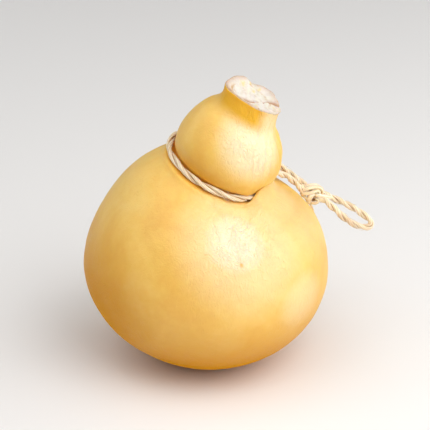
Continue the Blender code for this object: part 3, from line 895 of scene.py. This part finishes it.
def make_rind():
    """Rind of stretched curd: thin, waxy and slightly see-through, satin, with fine wrinkles.

    Light goes a few millimetres into it, which gives the warm shade. The torn curd is paler and dull.
    """
    material, shader = new_material("waxy_stretched_curd_rind")
    links = material.node_tree.links
    place = add_node(material, "TexCoord", {}).outputs["Object"]
    torn_mask, dry_rim_and_shade_mask, edge_mask, gold_and_lip_shade_mask, crease_shade_mask, painted_flank_shade_mask, painted_highlight_mask = [
        add_node(material, "Attribute", {}, attribute_name=name).outputs["Fac"] for name in SKIN_MASKS
    ]
    # Clouds of paler and deeper yellow, some 30 mm across, with speckle of some 4 mm in them.
    clouds = add_node(
        material, "TexNoise",
        {"Vector": place, "Scale": 1.0 / (30.0 * MM), "Detail": 3.0, "Roughness": 0.55,
         "Distortion": 0.4},
    )
    speckle = add_node(
        material, "TexNoise",
        {"Vector": place, "Scale": 1.0 / (4.0 * MM), "Detail": 4.0, "Roughness": 0.6},
    )
    mottle = add_node(
        material, "Mix", {0: 0.25, 2: clouds.outputs["Fac"], 3: speckle.outputs["Fac"]},
    )
    yellow = add_node(
        material, "ValToRGB", {"Fac": mottle.outputs[0]},
        stops=((0.34, linear("#E9B345")), (0.66, linear("#F4CB69")), (0.50, linear("#EFC054"))),
    )
    # Painted highlights make it paler round the lights' reflections. Painted shade makes it a deeper
    # amber on the underside, the left flank and the head's chin.
    pale = add_node(
        material, "Mix",
        {0: painted_highlight_mask, 6: yellow.outputs["Color"], 7: linear("#FDF0D2")},
        data_type="RGBA",
    )
    amber = add_node(
        material, "Mix", {0: painted_flank_shade_mask, 6: pale.outputs[2], 7: linear("#D08A1E")},
        data_type="RGBA",
    )
    # The skin's own gold, with painted shade of the overhanging lip in it.
    golden = add_node(
        material, "Mix", {0: gold_and_lip_shade_mask, 6: amber.outputs[2], 7: linear("#E6B038")},
        data_type="RGBA",
    )
    # Painted shade in the crease: a deep orange.
    deep = add_node(
        material, "Mix", {0: crease_shade_mask, 6: golden.outputs[2], 7: linear("#FFAC0C")},
        data_type="RGBA",
    )
    # Torn curd: cream, with faint flecks some 3 mm apart and a few yellow spots some 7 mm across.
    clumps = add_node(
        material, "TexNoise", {"Vector": place, "Scale": 1.0 / (7.0 * MM), "Detail": 2.0},
    )
    flecks = add_node(
        material, "TexNoise",
        {"Vector": place, "Scale": 1.0 / (3.2 * MM), "Detail": 4.0, "Roughness": 0.65},
    )
    curd = add_node(
        material, "ValToRGB", {"Fac": flecks.outputs["Fac"]},
        stops=((0.28, linear("#C0A88F")), (0.56, linear("#DCD5CA")), (0.40, linear("#D3C9BB"))),
    )
    spots = add_node(
        material, "MapRange",
        {"Value": clumps.outputs["Fac"], "From Min": 0.62, "From Max": 0.72, "To Max": 0.7},
    )
    spotted = add_node(
        material, "Mix", {0: spots.outputs["Result"], 6: curd.outputs["Color"], 7: linear("#E2C878")},
        data_type="RGBA",
    )
    # Towards the rim the curd dries to a pinkish tan, darkest in a thin line along its edge.
    # The same tan is painted shade in the valley behind the roll and on the roll's left part.
    dried = add_node(
        material, "Mix", {0: dry_rim_and_shade_mask, 6: spotted.outputs[2], 7: linear("#BA9C86")},
        data_type="RGBA",
    )
    skin = add_node(
        material, "Mix", {0: torn_mask, 6: deep.outputs[2], 7: dried.outputs[2]},
        data_type="RGBA",
    )
    # The thin line along the edge, and painted shade along the valley behind the roll.
    edge_share = add_node(material, "Math", {0: edge_mask, 1: 0.65}, operation="MULTIPLY")
    rimmed = add_node(
        material, "Mix", {0: edge_share.outputs[0], 6: skin.outputs[2], 7: linear("#A87C58")},
        data_type="RGBA",
    )
    # Wrinkles: broken ridges of some 5 mm, drawn out twice as long and leaning from the upright. They
    # are strongest under the painted highlights, and in patches some 40 mm across.
    drawn = add_node(
        material, "Mapping",
        {"Vector": place, "Rotation": (0.0, math.radians(-24.0), 0.0), "Scale": (1.0, 1.0, 0.50)},
    )
    wrinkles = add_node(
        material, "TexNoise",
        {"Vector": drawn.outputs["Vector"], "Scale": 1.0 / (5.0 * MM), "Detail": 3.0, "Roughness": 0.60,
         "Distortion": 1.8},
    )
    ridges = add_node(material, "Math", {0: wrinkles.outputs["Fac"], 1: 0.5}, operation="SUBTRACT")
    sharp = add_node(material, "Math", {0: ridges.outputs[0]}, operation="ABSOLUTE")
    patches = add_node(
        material, "TexNoise", {"Vector": place, "Scale": 1.0 / (40.0 * MM), "Detail": 1.0},
    )
    patchy = add_node(
        material, "MapRange",
        {"Value": patches.outputs["Fac"], "From Min": 0.35, "From Max": 0.62, "To Min": 0.20,
         "To Max": 0.55},
    )
    strength = add_node(
        material, "Math", {0: painted_highlight_mask, 1: 2.4, 2: patchy.outputs["Result"]},
        operation="MULTIPLY_ADD",
    )
    wrinkled = add_node(
        material, "Math", {0: sharp.outputs[0], 1: strength.outputs[0]}, operation="MULTIPLY",
    )
    pores = add_node(
        material, "TexNoise", {"Vector": place, "Scale": 1.0 / (0.9 * MM), "Detail": 2.0},
    )
    fine = add_node(
        material, "Math", {0: pores.outputs["Fac"], 1: 0.10, 2: wrinkled.outputs[0]},
        operation="MULTIPLY_ADD",
    )
    bump = add_node(
        material, "Bump", {"Height": fine.outputs[0], "Strength": 0.9, "Distance": 1.5 * MM},
    )
    rough = add_node(
        material, "MapRange",
        {"Value": speckle.outputs["Fac"], "From Min": 0.3, "From Max": 0.7, "To Min": 0.42,
         "To Max": 0.54},
    )
    dull = add_node(
        material, "Mix", {0: torn_mask, 2: rough.outputs["Result"], 3: 0.75},
    )
    links.new(rimmed.outputs[2], shader.inputs["Base Color"])
    links.new(bump.outputs["Normal"], shader.inputs["Normal"])
    links.new(dull.outputs[0], shader.inputs["Roughness"])
    # A film of wax and oil on all but the painted-shade flank, the crease, the golden skin and the torn
    # curd.
    film = add_node(
        material, "MapRange", {"Value": painted_flank_shade_mask, "From Max": 0.9, "To Min": 0.65, "To Max": 0.0},
    )
    bare = add_node(material, "Math", {0: torn_mask, 1: crease_shade_mask}, operation="MAXIMUM")
    dry = add_node(material, "Math", {0: bare.outputs[0], 1: gold_and_lip_shade_mask}, operation="MAXIMUM")
    wax = add_node(material, "Mix", {0: dry.outputs[0], 2: film.outputs["Result"], 3: 0.05})
    coat = add_node(material, "Math", {0: wax.outputs[0], 1: 0.15}, operation="MULTIPLY")
    links.new(coat.outputs[0], shader.inputs["Coat Weight"])
    links.new(wax.outputs[0], shader.inputs["Specular IOR Level"])
    shader.inputs["Coat Roughness"].default_value = 0.30
    shader.inputs["IOR"].default_value = 1.6
    shader.inputs["Subsurface Weight"].default_value = 0.45
    shader.inputs["Subsurface Radius"].default_value = (1.0, 0.60, 0.22)
    shader.inputs["Subsurface Scale"].default_value = 5.0 * MM
    return material


mesh.materials.clear()
mesh.materials.append(make_rind())
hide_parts("cheese")
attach(cheese, "root")

# ---------------------------------------------------------------- floor
# A plain matt floor of pale plaster, level and without joints. It stands in for a table top, and is
# wide enough for every view.

FLOOR_HALF_WIDTH = 3.0

bpy.ops.object.select_all(action="DESELECT")
bpy.ops.mesh.primitive_plane_add(size=2.0 * FLOOR_HALF_WIDTH, location=(0.0, 0.0, 0.0))
floor = bpy.context.object
floor.name = "floor"
plaster, plaster_shader = new_material("pale_plaster")
plaster_shader.inputs["Base Color"].default_value = linear("#EEECEA")
plaster_shader.inputs["Roughness"].default_value = 0.55
floor.data.materials.append(plaster)

# ---------------------------------------------------------------- light
# A large soft window stands on the right and in front. Weaker lamps all round it, and an even white
# surround, stand for the walls and the ceiling of a pale room.

LIGHTS = (
    # name, direction from the cheese, distance, size, watts
    ("high_window", (0.35, -0.50, 0.90), 1.10, 0.80, 3.2),
    ("window", (0.60, -0.50, 0.62), 1.10, 1.10, 6.1),
    ("right_lamp", (0.90, -0.34, 0.18), 1.10, 1.10, 2.8),
    ("front_lamp", (0.00, -0.95, 0.30), 1.30, 1.00, 0.7),
    ("back_window", (0.82, 0.35, 0.45), 1.20, 0.90, 3.2),
    ("ceiling", (0.00, -0.15, 1.00), 1.30, 1.40, 3.4),
    ("left_wall", (-0.60, -0.30, 0.90), 1.30, 1.20, 4.6),
    ("back_wall", (-0.80, 0.60, 0.50), 1.40, 1.20, 2.2),
)
ROOM_STRENGTH = 0.25

for name, direction, distance, size, watts in LIGHTS:
    way = Vector(direction).normalized()
    bpy.ops.object.light_add(
        type="AREA",
        location=BODY_MIDDLE + distance * way,
        rotation=way.to_track_quat("Z", "Y").to_euler(),
    )
    light = bpy.context.object
    light.name = name
    light.data.size = size
    light.data.energy = watts

room = bpy.data.worlds.new("white_room")
bpy.context.scene.world = room
room.use_nodes = True
room.node_tree.nodes["Background"].inputs["Color"].default_value = linear("#FFFFFF")
room.node_tree.nodes["Background"].inputs["Strength"].default_value = ROOM_STRENGTH
